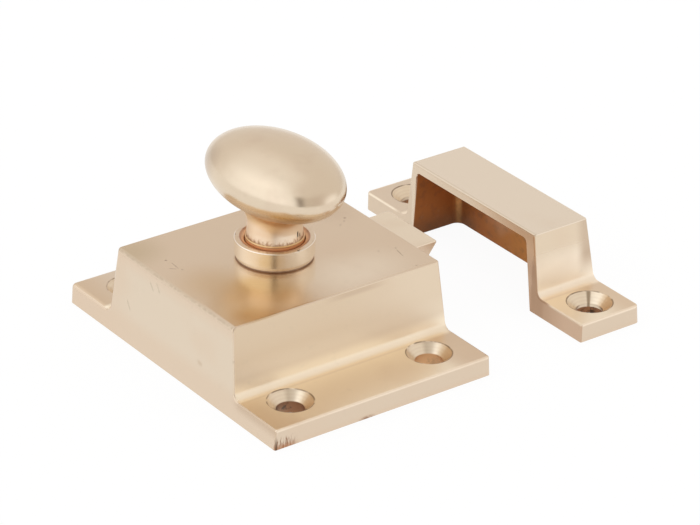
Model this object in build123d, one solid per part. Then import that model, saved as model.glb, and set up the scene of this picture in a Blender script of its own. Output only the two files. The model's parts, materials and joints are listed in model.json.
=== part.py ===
from build123d import *
import math
import os

# Cast-brass cupboard latch: a surface case with a sprung bevel bolt worked by an
# oval turn knob, and the box strike that the bolt drops into.
# Millimetres. +X is the way the bolt throws, +Z points away from the mounting
# surface. The origin is the middle of the case's four-screw pattern, on that surface.

# Case: a hat section with a flange along each side, leaning in at both ends
CASE_LENGTH = 44.5
CASE_WIDTH = 62.1
CASE_HEIGHT = 16.1
CASE_WALL = 2.2
FLANGE_THICKNESS = 3.65
BOX_WIDTH = 37.9
SIDE_DRAFT = 7.5
END_DRAFT = 3.8
FOOT_FILLET = 1.3
CASE_EDGE = 0.35
WORN_CORNER = 0.9
FLANGE_CORNER = 0.6

# Screw holes of the case, two in each flange, a little nearer to the box than to the rim
CASE_HOLE_FROM_END = 7.95
CASE_HOLE_BIAS = 0.8
CASE_HOLE = 4.8
CASE_SINK = 7.9
SINK_ANGLE = 90.0

# Bolt: bevelled nose, stop lugs, tail, and the ear that the crank pin drives
BOLT_WIDTH = 13.7
BOLT_DROP = 2.8
BOLT_PROJECTION = 6.6
BEVEL_ANGLE = 37.0
BEVEL_LAND = 0.5
BOLT_EDGE = 0.25
LUG_OVERHANG = 1.8
LUG_LENGTH = 4.0
TAIL_CLEARANCE = 1.05
EAR_WALL = 1.6

# Crank: half of the swing lies each side of square across the bolt
SPINDLE_X = -0.6
CRANK_RADIUS = 7.5
SWING = 60.0
CRANK_PIN = 3.0
CRANK_THICKNESS = 2.3
CRANK_HUB = 10.4
CRANK_EYE = 5.2
SQUARE = 5.5

# Collar: the turned bush that is pressed into the case top
COLLAR_DIAMETER = 13.8
COLLAR_HEIGHT = 3.65
COLLAR_RIM = 0.85
COLLAR_CHAMFER = 0.12
COLLAR_UNDERCUT = 0.3
UNDERCUT_HEIGHT = 0.9
MOUTH_DEPTH = 0.35
COLLAR_SPIGOT_WALL = 1.45
SOCKET_DEPTH = 1.5
JOURNAL = 8.0

# Knob: an oval head on a waisted neck
HEAD_LENGTH = 30.05
HEAD_WIDTH = 20.0
HEAD_DEPTH = 12.7
HEAD_RISE = 11.55
NECK_WAIST = 9.55
WAIST_RISE = 2.05
NECK_FOOT = 9.9
NECK_LIP = 0.12
NECK_LIP_HEIGHT = 1.65
NECK_FILLET = 4.2
STUD = 5.0
STUD_LENGTH = 8.0

# Fastenings inside the case
WASHER_THICKNESS = 0.6
CRANK_SCREW = 3.0
CRANK_SCREW_HEAD = 7.2
CRANK_SCREW_HEAD_HEIGHT = 1.3
CRANK_SCREW_LENGTH = 7.0
DRIVER_SLOT_WIDTH = 0.8
DRIVER_SLOT_DEPTH = 0.6

# Back plate, let into the underside of the case
PLATE_THICKNESS = 1.6
PLATE_SET_IN = 0.1
PLATE_LEDGE = 0.9
PLATE_SCREW = 2.5
PLATE_SCREW_HEAD = 4.8
PLATE_SCREW_LENGTH = 6.9
BOSS_DIAMETER = 6.0
BOSS_INSET = 3.9

# Ribs cast inside the case, which guide the bolt
RIB_THICKNESS = 2.0
RIB_FOOT_GAP = 1.5
RIB_EAR_GAP = 0.5

# Bolt spring: in a bore in the tail, and round a pin in the case's rear wall
SPRING_WIRE = 0.6
SPRING_TURNS = 7
BORE_WALL = 0.95
BORE_DEPTH = 7.2
SPRING_PIN_LENGTH = 6.0
SPRING_PIN_SEAT = 1.2

# Strike: a box with a mouth towards the case, and two feet
STRIKE_GAP = 19.65
STRIKE_DEPTH = 13.3
STRIKE_WIDTH = 62.1
STRIKE_FOOT = 3.45
STRIKE_BOX_WIDTH = 37.8
STRIKE_LEG = 2.25
STRIKE_ROOF = 1.6
STRIKE_BACK_WALL = 2.35
STRIKE_BACK_DRAFT = 6.0
STRIKE_MOUTH_DRAFT = 6.0
STRIKE_MOUTH_SKEW = 0.45
STRIKE_MOUTH_FILLET = 1.0
STRIKE_INNER_FILLET = 1.6
STRIKE_FOOT_CORNER = 1.0
STRIKE_EDGE = 0.3
STRIKE_HOLE_BIAS = 0.275
STRIKE_HOLE_SETBACK = 6.6
STRIKE_HOLE = 4.8
STRIKE_SINK = 8.1

# Clearances
BOLT_PLAY = 0.12
BOLT_LIFT = 0.15
STOP_GAP = 0.3
TAIL_GAP = 0.9
HUB_GAP = 0.3
PIN_PLAY = 0.15
NECK_PLAY = 0.2
JOURNAL_PLAY = 0.05
END_PLAY = 0.1
PLATE_GAP = 0.15
SPRING_PLAY = 0.2
LATCHED_GAP = 0.1

# How far a cutting tool runs past the face that it cuts
OVERRUN = 1.0


def lean(half, height, angle):
    """Half size left at a height above the base, on a side that leans in by an angle."""
    return half - height * math.tan(math.radians(angle))


# Heights
CAVITY_TOP = CASE_HEIGHT - CASE_WALL
PLATE_TOP = PLATE_SET_IN + PLATE_THICKNESS
CRANK_TOP = CAVITY_TOP - WASHER_THICKNESS - 2 * END_PLAY
CRANK_BOTTOM = CRANK_TOP - CRANK_THICKNESS
CRANK_SCREW_FOOT = CRANK_BOTTOM - CRANK_SCREW_HEAD_HEIGHT
BOLT_TOP = CASE_HEIGHT - BOLT_DROP
BOLT_BOTTOM = PLATE_TOP + BOLT_LIFT
TAIL_TOP = CRANK_SCREW_FOOT - TAIL_CLEARANCE
TAIL_AXIS_Z = (BOLT_BOTTOM + TAIL_TOP) / 2
COLLAR_TOP = CASE_HEIGHT + COLLAR_HEIGHT
SOCKET_FLOOR = COLLAR_TOP - SOCKET_DEPTH
NECK_BOTTOM = SOCKET_FLOOR + END_PLAY
HEAD_CENTRE_Z = COLLAR_TOP + HEAD_RISE
STRIKE_MOUTH_TOP = BOLT_TOP + LATCHED_GAP
STRIKE_HEIGHT = STRIKE_MOUTH_TOP + STRIKE_ROOF

# Plan of the case
BASE_HALF_X = CASE_LENGTH / 2
BASE_HALF_Y = lean(BOX_WIDTH / 2, -FLANGE_THICKNESS, SIDE_DRAFT)
CAVITY_HALF_X = BASE_HALF_X - CASE_WALL
CAVITY_HALF_Y = BASE_HALF_Y - CASE_WALL
BOSS_X = CAVITY_HALF_X - BOSS_INSET
BOSS_Y = CAVITY_HALF_Y - BOSS_INSET
LEDGE_X = CAVITY_HALF_X + PLATE_LEDGE
LEDGE_Y = CAVITY_HALF_Y + PLATE_LEDGE
CASE_HOLE_X = BASE_HALF_X - CASE_HOLE_FROM_END
CASE_HOLE_Y = (CASE_WIDTH + BOX_WIDTH) / 4 - CASE_HOLE_BIAS
BOLT_SLOT_HALF = BOLT_WIDTH / 2 + BOLT_PLAY

# Crank pin at rest, and how far it moves the bolt
REST_TURN = SWING / 2 - 90
TRAVEL = 2 * CRANK_RADIUS * math.sin(math.radians(SWING / 2))
PIN_X = SPINDLE_X + CRANK_RADIUS * math.cos(math.radians(REST_TURN))
PIN_Y = CRANK_RADIUS * math.sin(math.radians(REST_TURN))
PIN_SLOT_WIDTH = CRANK_PIN + 2 * PIN_PLAY
EAR_HALF_X = PIN_SLOT_WIDTH / 2 + EAR_WALL
EAR_END_Y = CRANK_RADIUS + PIN_SLOT_WIDTH / 2 + EAR_WALL

# Plan of the bolt
BOLT_REACH = BASE_HALF_X + BOLT_PROJECTION
BODY_START = SPINDLE_X + CRANK_HUB / 2 + TRAVEL + HUB_GAP
LUG_FRONT = lean(CAVITY_HALF_X, BOLT_TOP, END_DRAFT) - STOP_GAP
REAR_WALL_AT_TAIL = -lean(CAVITY_HALF_X, TAIL_TOP, END_DRAFT)
REAR_WALL_AT_SPRING = -lean(CAVITY_HALF_X, TAIL_AXIS_Z, END_DRAFT)
TAIL_END = REAR_WALL_AT_TAIL + TRAVEL + TAIL_GAP
SPRING_BORE = TAIL_TOP - BOLT_BOTTOM - 2 * BORE_WALL
SPRING_DIAMETER = SPRING_BORE - 2 * SPRING_PLAY
SPRING_PIN = SPRING_DIAMETER - 2 * SPRING_WIRE - 2 * SPRING_PLAY

# Collar and neck
NECK_LIP_DIAMETER = NECK_FOOT + 2 * NECK_LIP
COLLAR_BORE = JOURNAL + 2 * JOURNAL_PLAY
COLLAR_SPIGOT = COLLAR_BORE + 2 * COLLAR_SPIGOT_WALL
COLLAR_MOUTH = COLLAR_DIAMETER - 2 * COLLAR_RIM

# Plan of the strike
STRIKE_FRONT_X = BASE_HALF_X + STRIKE_GAP
STRIKE_BACK_X = STRIKE_FRONT_X + STRIKE_DEPTH
STRIKE_HOLE_X = STRIKE_FRONT_X + STRIKE_HOLE_SETBACK
STRIKE_HOLE_Y = (STRIKE_WIDTH + STRIKE_BOX_WIDTH) / 4 + STRIKE_HOLE_BIAS


def block(x0, x1, y0, y1, z0, z1):
    """A rectangular block between two corners."""
    middle = Pos((x0 + x1) / 2, (y0 + y1) / 2, (z0 + z1) / 2)
    return middle * Box(abs(x1 - x0), abs(y1 - y0), abs(z1 - z0))


def rod(x, y, z0, z1, diameter):
    """An upright round bar."""
    return Pos(x, y, (z0 + z1) / 2) * Cylinder(diameter / 2, z1 - z0)


def rod_along_x(x0, x1, z, diameter):
    """A level round bar on the bolt's centre plane."""
    return Pos((x0 + x1) / 2, 0, z) * Rot(0, 90, 0) * Cylinder(diameter / 2, x1 - x0)


def along_x(outline, x0, x1):
    """A straight prism along X from a closed outline of (y, z) points."""
    face = make_face(Polyline(*[(x0, y, z) for y, z in outline], close=True))
    return extrude(face, amount=x1 - x0, dir=(1, 0, 0))


def along_y(outline, half_width):
    """A straight prism along Y, centred, from a closed outline of (x, z) points."""
    face = make_face(Polyline(*[(x, -half_width, z) for x, z in outline], close=True))
    return extrude(face, amount=2 * half_width, dir=(0, 1, 0))


def mirrored(outline):
    """A closed (y, z) outline from its right half, listed from the base upwards."""
    return outline + [(-y, z) for y, z in reversed(outline)]


def edges_at(part, z):
    """Edges that lie wholly at a height."""
    return part.edges().filter_by_position(Axis.Z, z - 0.01, z + 0.01)


def corners(x, y):
    """The four points of a rectangular pattern about the origin."""
    return [(side_x * x, side_y * y) for side_x in (-1, 1) for side_y in (-1, 1)]


def countersunk_hole(x, y, top_z, depth, hole, sink):
    """The tool for a countersunk through hole that enters a face which looks up."""
    slope = math.tan(math.radians(SINK_ANGLE / 2))
    cone_depth = (sink - hole) / 2 / slope
    cone = Cone(hole / 2, sink / 2 + OVERRUN * slope, cone_depth + OVERRUN)
    tool = Pos(x, y, top_z + (OVERRUN - cone_depth) / 2) * cone
    return tool + rod(x, y, top_z - depth - OVERRUN, top_z, hole)


def hat_section(half_width, foot, box_half, height):
    """Half outline of a box with side flanges, from the base upwards."""
    top_half = lean(box_half, height - foot, SIDE_DRAFT)
    return [(half_width, 0), (half_width, foot), (box_half, foot), (top_half, height)]


def fillet_box_foot(part, foot, box_half):
    """Round the inner corner where each leaning side runs into its flange."""
    seams = [
        edge
        for edge in edges_at(part, foot).filter_by(Axis.X)
        if abs(abs(edge.center().Y) - box_half) < 0.05
    ]
    return fillet(seams, FOOT_FILLET)


def flange_corners(part, half_width, foot):
    """The upright edges at the outer corners of both flanges."""
    return [
        edge
        for edge in part.edges()
        if abs(abs(edge.center().Y) - half_width) < 0.01 and 0.01 < edge.center().Z < foot - 0.01
    ]


def handled_edges(part, half_width, foot, height, on_end):
    """The outer edges of a casting that are broken by hand: top, rims and both ends."""
    found = []
    for edge in part.edges():
        middle = edge.center()
        on_top = abs(middle.Z - height) < 0.01
        on_rim = abs(abs(middle.Y) - half_width) < 0.01 and middle.Z > 0.01
        above_seam = middle.Z > foot + FOOT_FILLET
        along_flange = abs(middle.Z - foot) < 0.01
        if on_top or on_rim or (on_end(middle) and (above_seam or along_flange)):
            found.append(edge)
    return found


def on_case_end(point):
    return abs(abs(point.X) - lean(BASE_HALF_X, point.Z, END_DRAFT)) < 0.01


def on_strike_end(point):
    on_front = abs(point.X - STRIKE_FRONT_X) < 0.01
    return on_front or abs(point.X - lean(STRIKE_BACK_X, point.Z, STRIKE_BACK_DRAFT)) < 0.01


def is_worn_edge(edge):
    """True for the top's rear edge and the box's far rear corner, which have worn round."""
    middle = edge.center()
    far_corner = middle.Y > 0 and middle.Z > FLANGE_THICKNESS + FOOT_FILLET
    rear_edge = abs(middle.Y) < 0.01 and abs(middle.Z - CASE_HEIGHT) < 0.01
    return middle.X < 0 and on_case_end(middle) and (far_corner or rear_edge)


def case_hollow():
    """The space inside the case, less its screw bosses and the ribs beside the bolt."""
    top_y = lean(CAVITY_HALF_Y, CAVITY_TOP, SIDE_DRAFT)
    top_x = lean(CAVITY_HALF_X, CAVITY_TOP, END_DRAFT)
    sides = mirrored([(CAVITY_HALF_Y, 0), (top_y, CAVITY_TOP)])
    ends = mirrored([(CAVITY_HALF_X, 0), (top_x, CAVITY_TOP)])
    hollow = along_x(sides, -CAVITY_HALF_X, CAVITY_HALF_X) & along_y(ends, CAVITY_HALF_Y)

    # Round bosses, each with webs that join it to both walls
    radius = BOSS_DIAMETER / 2
    for x, y in corners(BOSS_X, BOSS_Y):
        wall_x = math.copysign(CAVITY_HALF_X, x)
        wall_y = math.copysign(CAVITY_HALF_Y, y)
        hollow -= rod(x, y, PLATE_TOP, CAVITY_TOP, BOSS_DIAMETER)
        hollow -= block(x, wall_x, y - radius, y + radius, PLATE_TOP, CAVITY_TOP)
        hollow -= block(x - radius, x + radius, y, wall_y, PLATE_TOP, CAVITY_TOP)

    # Front ribs guide the lugs and rear ribs the tail; both stop short of the ear
    rib_foot = PLATE_TOP + RIB_FOOT_GAP
    lug_side = BOLT_WIDTH / 2 + LUG_OVERHANG + BOLT_PLAY
    front = PIN_X + EAR_HALF_X + RIB_EAR_GAP
    rear = PIN_X - EAR_HALF_X - TRAVEL - RIB_EAR_GAP
    for side in (-1, 1):
        near, far = side * lug_side, side * (lug_side + RIB_THICKNESS)
        hollow -= block(front, CAVITY_HALF_X, near, far, rib_foot, CAVITY_TOP)
        near, far = side * BOLT_SLOT_HALF, side * (BOLT_SLOT_HALF + RIB_THICKNESS)
        hollow -= block(-CAVITY_HALF_X, rear, near, far, rib_foot, CAVITY_TOP)
    return hollow


def make_case():
    # Outer form: the hat section, trimmed to the lean of its two ends
    half_width = CASE_WIDTH / 2
    hat = mirrored(hat_section(half_width, FLANGE_THICKNESS, BOX_WIDTH / 2, CASE_HEIGHT))
    ends = mirrored([(BASE_HALF_X, 0), (lean(BASE_HALF_X, CASE_HEIGHT, END_DRAFT), CASE_HEIGHT)])
    case = along_x(hat, -BASE_HALF_X, BASE_HALF_X) & along_y(ends, half_width)
    case = fillet_box_foot(case, FLANGE_THICKNESS, BOX_WIDTH / 2)

    # Outer edges: worn round at the far rear, eased at the front corners, and broken elsewhere
    uprights = flange_corners(case, half_width, FLANGE_THICKNESS)
    case = fillet([edge for edge in uprights if edge.center().X < 0 < edge.center().Y], WORN_CORNER)
    uprights = flange_corners(case, half_width, FLANGE_THICKNESS)
    case = fillet([edge for edge in uprights if edge.center().X > 0], FLANGE_CORNER)
    case = fillet([edge for edge in case.edges() if is_worn_edge(edge)], WORN_CORNER)
    case = fillet(handled_edges(case, half_width, FLANGE_THICKNESS, CASE_HEIGHT, on_case_end), CASE_EDGE)

    # Inside: the hollow, the recess for the back plate and the bolt's slot, open below
    case -= case_hollow()
    case -= block(-LEDGE_X, LEDGE_X, -LEDGE_Y, LEDGE_Y, 0, PLATE_TOP)
    slot_end = BASE_HALF_X + OVERRUN
    case -= block(0, slot_end, -BOLT_SLOT_HALF, BOLT_SLOT_HALF, 0, BOLT_TOP + BOLT_PLAY)

    # Holes: flange screws, collar seat, plate screws and the spring pin's blind hole
    for x, y in corners(CASE_HOLE_X, CASE_HOLE_Y):
        case -= countersunk_hole(x, y, FLANGE_THICKNESS, FLANGE_THICKNESS, CASE_HOLE, CASE_SINK)
    case -= rod(SPINDLE_X, 0, CAVITY_TOP - OVERRUN, CASE_HEIGHT + OVERRUN, COLLAR_SPIGOT)
    for x, y in corners(BOSS_X, BOSS_Y):
        hole_end = PLATE_SET_IN + PLATE_SCREW_LENGTH + END_PLAY
        case -= rod(x, y, PLATE_TOP, hole_end, PLATE_SCREW)
    seat_x = REAR_WALL_AT_SPRING - SPRING_PIN_SEAT
    case -= rod_along_x(seat_x, REAR_WALL_AT_SPRING + OVERRUN, TAIL_AXIS_Z, SPRING_PIN)
    return case


def make_collar():
    # Turned profile: bore, spigot, undercut foot, rim, shallow mouth and socket for the neck
    bore = COLLAR_BORE / 2
    spigot = COLLAR_SPIGOT / 2
    spigot_end = CAVITY_TOP + END_PLAY
    rim = COLLAR_DIAMETER / 2
    mouth = COLLAR_MOUTH / 2
    socket = NECK_LIP_DIAMETER / 2 + NECK_PLAY
    profile = Polyline(
        (bore, spigot_end),
        (spigot, spigot_end),
        (spigot, CASE_HEIGHT),
        (rim - COLLAR_UNDERCUT, CASE_HEIGHT),
        (rim, CASE_HEIGHT + UNDERCUT_HEIGHT),
        (rim, COLLAR_TOP - COLLAR_CHAMFER),
        (rim - COLLAR_CHAMFER, COLLAR_TOP),
        (mouth, COLLAR_TOP),
        (socket, COLLAR_TOP - MOUTH_DEPTH),
        (socket, SOCKET_FLOOR),
        (bore, SOCKET_FLOOR),
        close=True,
    )
    return Pos(SPINDLE_X, 0, 0) * revolve(Plane.XZ * make_face(profile), Axis.Z, 360)


def make_knob():
    # Neck: a lip at its foot, then a hollow curve up to the waist, and on up into the head
    foot = NECK_FOOT / 2
    lip = NECK_LIP_DIAMETER / 2
    waist = NECK_WAIST / 2
    lip_top = NECK_BOTTOM + NECK_LIP_HEIGHT
    base = Polyline((0, NECK_BOTTOM), (lip, NECK_BOTTOM), (lip, lip_top), (foot, lip_top + NECK_LIP))
    hollow = TangentArc((waist, COLLAR_TOP + WAIST_RISE), base @ 1, tangent=(0, -1))
    inside = Polyline(hollow @ 0, (waist, HEAD_CENTRE_Z), (0, HEAD_CENTRE_Z), (0, NECK_BOTTOM))
    neck = revolve(Plane.XZ * make_face([base, hollow, inside]), Axis.Z, 360)

    # Head: an ellipsoid, blended into the neck
    head = scale(Sphere(1), by=(HEAD_WIDTH / 2, HEAD_LENGTH / 2, HEAD_DEPTH / 2))
    knob = neck + Pos(0, 0, HEAD_CENTRE_Z) * head
    seam = [
        edge
        for edge in knob.edges()
        if COLLAR_TOP + WAIST_RISE + 0.01 < edge.center().Z < HEAD_CENTRE_Z and edge.bounding_box().size.X > waist
    ]
    knob = fillet(seam, NECK_FILLET)
    knob -= rod(0, 0, NECK_BOTTOM - OVERRUN, NECK_BOTTOM + STUD_LENGTH + END_PLAY, STUD)
    return Pos(SPINDLE_X, 0, 0) * knob


def square_bar(z0, z1):
    """The spindle's square end on its own axis, turned to line up with the crank."""
    half = SQUARE / 2
    return Rot(0, 0, REST_TURN) * block(-half, half, -half, half, z0, z1)


def make_spindle():
    # Stud in the knob, round journal in the collar, square for the crank
    spindle = rod(0, 0, NECK_BOTTOM, NECK_BOTTOM + STUD_LENGTH, STUD)
    spindle += rod(0, 0, CRANK_TOP, NECK_BOTTOM, JOURNAL)
    spindle += square_bar(CRANK_BOTTOM, CRANK_TOP)
    tapped_end = CRANK_BOTTOM + CRANK_SCREW_LENGTH + END_PLAY
    spindle -= rod(0, 0, CRANK_BOTTOM - OVERRUN, tapped_end, CRANK_SCREW)
    return Pos(SPINDLE_X, 0, 0) * spindle


def make_thrust_washer():
    # Between the case top and the crank, as wide as the crank's hub
    bottom = CRANK_TOP + END_PLAY
    washer = rod(SPINDLE_X, 0, bottom, bottom + WASHER_THICKNESS, CRANK_HUB)
    hole = JOURNAL + 2 * END_PLAY
    return washer - rod(SPINDLE_X, 0, bottom - OVERRUN, CAVITY_TOP, hole)


def make_crank():
    # Drop-shaped plate: a hub on the spindle's square and an eye for the pin
    hub = Circle(CRANK_HUB / 2)
    eye = Pos(CRANK_RADIUS, 0) * Circle(CRANK_EYE / 2)
    plate = extrude(make_hull(hub.edges() + eye.edges()), CRANK_THICKNESS)
    plate = Pos(0, 0, CRANK_BOTTOM) * Rot(0, 0, REST_TURN) * plate
    plate -= square_bar(CRANK_BOTTOM - OVERRUN, CRANK_TOP + OVERRUN)
    plate = Pos(SPINDLE_X, 0, 0) * plate
    return plate - rod(PIN_X, PIN_Y, CRANK_BOTTOM - OVERRUN, CRANK_TOP + OVERRUN, CRANK_PIN)


def make_crank_pin():
    # Riveted flush with the top of the crank; its foot stays off the back plate
    foot_z = BOLT_BOTTOM + PIN_PLAY
    pin = rod(PIN_X, PIN_Y, foot_z, CRANK_TOP, CRANK_PIN)
    return chamfer(edges_at(pin, foot_z), PIN_PLAY)


def make_crank_screw():
    # Cheese head under the crank, with a driver slot
    screw = rod(0, 0, CRANK_SCREW_FOOT, CRANK_BOTTOM, CRANK_SCREW_HEAD)
    screw = chamfer(edges_at(screw, CRANK_SCREW_FOOT), DRIVER_SLOT_DEPTH / 2)
    screw += rod(0, 0, CRANK_BOTTOM, CRANK_BOTTOM + CRANK_SCREW_LENGTH, CRANK_SCREW)
    half = DRIVER_SLOT_WIDTH / 2
    slot_top = CRANK_SCREW_FOOT + DRIVER_SLOT_DEPTH
    screw -= block(-half, half, -CRANK_SCREW_HEAD, CRANK_SCREW_HEAD, CRANK_SCREW_FOOT - OVERRUN, slot_top)
    return Pos(SPINDLE_X, 0, 0) * screw


def make_bolt():
    # Nose and body: flat on top, bevelled underneath, with its edges eased
    bevel_run = (BOLT_TOP - BEVEL_LAND - BOLT_BOTTOM) * math.tan(math.radians(BEVEL_ANGLE))
    side = [
        (BODY_START, BOLT_BOTTOM),
        (BOLT_REACH - bevel_run, BOLT_BOTTOM),
        (BOLT_REACH, BOLT_TOP - BEVEL_LAND),
        (BOLT_REACH, BOLT_TOP),
        (BODY_START, BOLT_TOP),
    ]
    half = BOLT_WIDTH / 2
    bolt = along_y(side, half)
    nose = [
        edge
        for edge in bolt.edges()
        if edge.center().X > BODY_START + OVERRUN and edge.center().Z > BOLT_BOTTOM + 0.01
    ]
    bolt = fillet(nose, BOLT_EDGE)

    # Stop lugs, which come up against the inside of the front wall
    lug = half + LUG_OVERHANG
    bolt += block(LUG_FRONT - LUG_LENGTH, LUG_FRONT, -lug, lug, BOLT_BOTTOM, BOLT_TOP)

    # Tail under the crank, and the ear whose cross slot takes the crank pin
    bolt += block(TAIL_END, BODY_START, -half, half, BOLT_BOTTOM, TAIL_TOP)
    bolt += block(PIN_X - EAR_HALF_X, PIN_X + EAR_HALF_X, -EAR_END_Y, -half, BOLT_BOTTOM, TAIL_TOP)
    slot_far = -CRANK_RADIUS - PIN_PLAY
    slot_near = PIN_Y + PIN_PLAY
    outline = Rot(0, 0, 90) * SlotCenterToCenter(slot_near - slot_far, PIN_SLOT_WIDTH)
    bolt -= Pos(PIN_X, (slot_near + slot_far) / 2, 0) * extrude(outline, CASE_HEIGHT)

    # Blind bore for the spring
    return bolt - rod_along_x(TAIL_END - OVERRUN, TAIL_END + BORE_DEPTH, TAIL_AXIS_Z, SPRING_BORE)


def make_bolt_spring():
    # Compression coil: wire swept round a helix, its ends just clear of both seats
    seat_gap = END_PLAY + SPRING_WIRE / 2
    length = TAIL_END + BORE_DEPTH - REAR_WALL_AT_SPRING - 2 * seat_gap
    radius = (SPRING_DIAMETER - SPRING_WIRE) / 2
    path = Helix(pitch=length / SPRING_TURNS, height=length, radius=radius)
    wire = Plane(path @ 0, z_dir=path % 0) * Circle(SPRING_WIRE / 2)
    coil = sweep(wire, path, is_frenet=True)
    return Pos(REAR_WALL_AT_SPRING + seat_gap, 0, TAIL_AXIS_Z) * Rot(0, 90, 0) * coil


def make_spring_pin():
    seat_x = REAR_WALL_AT_SPRING - SPRING_PIN_SEAT
    tip_x = REAR_WALL_AT_SPRING + SPRING_PIN_LENGTH
    pin = rod_along_x(seat_x, tip_x, TAIL_AXIS_Z, SPRING_PIN)
    tip = pin.edges().filter_by_position(Axis.X, tip_x - 0.01, tip_x + 0.01)
    return chamfer(tip, SPRING_PIN / 8)


def make_back_plate():
    # Flat plate in the recess, with a tongue that fills the foot of the bolt's slot
    half_x = LEDGE_X - PLATE_GAP
    half_y = LEDGE_Y - PLATE_GAP
    plate = block(-half_x, half_x, -half_y, half_y, PLATE_SET_IN, PLATE_TOP)
    tongue_half = BOLT_SLOT_HALF - PLATE_GAP
    tongue_end = lean(BASE_HALF_X, PLATE_TOP, END_DRAFT) - PLATE_GAP
    plate += block(0, tongue_end, -tongue_half, tongue_half, PLATE_SET_IN, PLATE_TOP)
    hole = countersunk_hole(0, 0, 0, PLATE_THICKNESS, PLATE_SCREW, PLATE_SCREW_HEAD)
    for x, y in corners(BOSS_X, BOSS_Y):
        plate -= Pos(x, y, PLATE_SET_IN) * Rot(180, 0, 0) * hole
    return plate


def make_plate_screw(x, y):
    # Countersunk head flush with the underside of the plate, shank up into a boss
    cone_depth = (PLATE_SCREW_HEAD - PLATE_SCREW) / 2 / math.tan(math.radians(SINK_ANGLE / 2))
    cone = Cone(PLATE_SCREW_HEAD / 2, PLATE_SCREW / 2, cone_depth)
    screw = Pos(0, 0, cone_depth / 2) * cone + rod(0, 0, cone_depth, PLATE_SCREW_LENGTH, PLATE_SCREW)
    half = DRIVER_SLOT_WIDTH / 2
    screw -= block(-PLATE_SCREW_HEAD, PLATE_SCREW_HEAD, -half, half, -OVERRUN, DRIVER_SLOT_DEPTH)
    return Pos(x, y, PLATE_SET_IN) * screw


def strike_mouth():
    """The space in the strike, open to the front and below, round in its corners.

    The casting's core leans, so that the space sits to the far side by the skew at its top.
    """
    half = lean(STRIKE_BOX_WIDTH / 2, -STRIKE_FOOT, SIDE_DRAFT) - STRIKE_LEG
    top_half = lean(half, STRIKE_MOUTH_TOP, STRIKE_MOUTH_DRAFT)
    sides = [
        (-half, 0),
        (half, 0),
        (top_half + STRIKE_MOUTH_SKEW, STRIKE_MOUTH_TOP),
        (STRIKE_MOUTH_SKEW - top_half, STRIKE_MOUTH_TOP),
    ]
    back = STRIKE_BACK_X - STRIKE_BACK_WALL
    front = STRIKE_FRONT_X - OVERRUN
    ends = [
        (front, 0),
        (back, 0),
        (lean(back, STRIKE_MOUTH_TOP, STRIKE_MOUTH_DRAFT), STRIKE_MOUTH_TOP),
        (front, STRIKE_MOUTH_TOP),
    ]
    mouth = along_x(sides, front, back) & along_y(ends, half)
    uprights = [
        edge
        for edge in mouth.edges()
        if edge.center().X > STRIKE_HOLE_X and 0.01 < edge.center().Z < STRIKE_MOUTH_TOP - 0.01
    ]
    mouth = fillet(uprights, STRIKE_INNER_FILLET)
    roof = [edge for edge in edges_at(mouth, STRIKE_MOUTH_TOP) if edge.center().X > front + 0.01]
    return fillet(roof, STRIKE_MOUTH_FILLET)


def make_strike():
    # Outer form: the hat section with an upright front and a leaning back
    half_width = STRIKE_WIDTH / 2
    box_half = STRIKE_BOX_WIDTH / 2
    hat = mirrored(hat_section(half_width, STRIKE_FOOT, box_half, STRIKE_HEIGHT))
    ends = [
        (STRIKE_FRONT_X, 0),
        (STRIKE_BACK_X, 0),
        (lean(STRIKE_BACK_X, STRIKE_HEIGHT, STRIKE_BACK_DRAFT), STRIKE_HEIGHT),
        (STRIKE_FRONT_X, STRIKE_HEIGHT),
    ]
    strike = along_x(hat, STRIKE_FRONT_X, STRIKE_BACK_X) & along_y(ends, half_width)
    strike = fillet_box_foot(strike, STRIKE_FOOT, box_half)

    # Outer edges: three corners of the feet are round, and the rest is broken like the case
    rounded = [
        edge
        for edge in flange_corners(strike, half_width, STRIKE_FOOT)
        if edge.center().Y > 0 or edge.center().X > STRIKE_HOLE_X
    ]
    strike = fillet(rounded, STRIKE_FOOT_CORNER)
    strike = fillet(handled_edges(strike, half_width, STRIKE_FOOT, STRIKE_HEIGHT, on_strike_end), STRIKE_EDGE)
    strike -= strike_mouth()
    for y in (-STRIKE_HOLE_Y, STRIKE_HOLE_Y):
        strike -= countersunk_hole(STRIKE_HOLE_X, y, STRIKE_FOOT, STRIKE_FOOT, STRIKE_HOLE, STRIKE_SINK)
    return strike


def write(name, shape):
    """One STEP file for each piece, which is a single solid."""
    export_step(shape.solid(), f"parts/{name}.step")


os.makedirs("parts", exist_ok=True)
write("case", make_case())
write("collar", make_collar())
write("knob", make_knob())
write("spindle", make_spindle())
write("thrust_washer", make_thrust_washer())
write("crank", make_crank())
write("crank_pin", make_crank_pin())
write("crank_screw", make_crank_screw())
write("bolt", make_bolt())
write("bolt_spring", make_bolt_spring())
write("spring_pin", make_spring_pin())
write("back_plate", make_back_plate())
for number, (x, y) in enumerate(corners(BOSS_X, BOSS_Y), start=1):
    write(f"plate_screw_{number}", make_plate_screw(x, y))
write("strike", make_strike())
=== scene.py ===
import bpy
import json
import math
from mathutils import Matrix, Vector


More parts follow.
